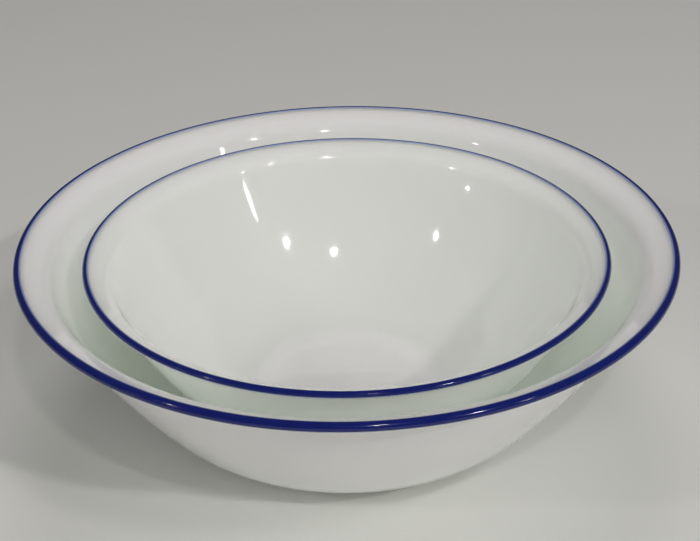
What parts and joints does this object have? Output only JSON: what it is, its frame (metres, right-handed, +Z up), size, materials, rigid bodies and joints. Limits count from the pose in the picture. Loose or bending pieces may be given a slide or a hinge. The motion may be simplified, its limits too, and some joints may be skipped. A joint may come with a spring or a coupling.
{
  "type": "nested serving bowls",
  "caption": "Nested round serving bowls of white glass with flared rims, each edged with a dark blue band; the smaller bowl rests inside the larger and lifts out.",
  "frame": {"origin": "on the table, at the centre of the large bowl's foot ring", "axes": "+Z up along the axis of both bowls, +Y away from the viewer of the picture"},
  "size_m": [0.26, 0.26, 0.082],
  "materials": {
    "opal_glass": "slightly translucent white opal glass, polished",
    "cobalt_enamel": "dark blue fired-on enamel, gloss"
  },
  "bodies": {
    "large_bowl": {"large_bowl": "opal_glass", "large_rim_band": "cobalt_enamel"},
    "small_bowl": {"small_bowl": "opal_glass", "small_rim_band": "cobalt_enamel"}
  },
  "joints": [
    {"name": "small_bowl_lift", "type": "slide", "parent": "large_bowl", "child": "small_bowl", "axis": [0, 0, 1], "range_m": [0, 0.1]}
  ]
}
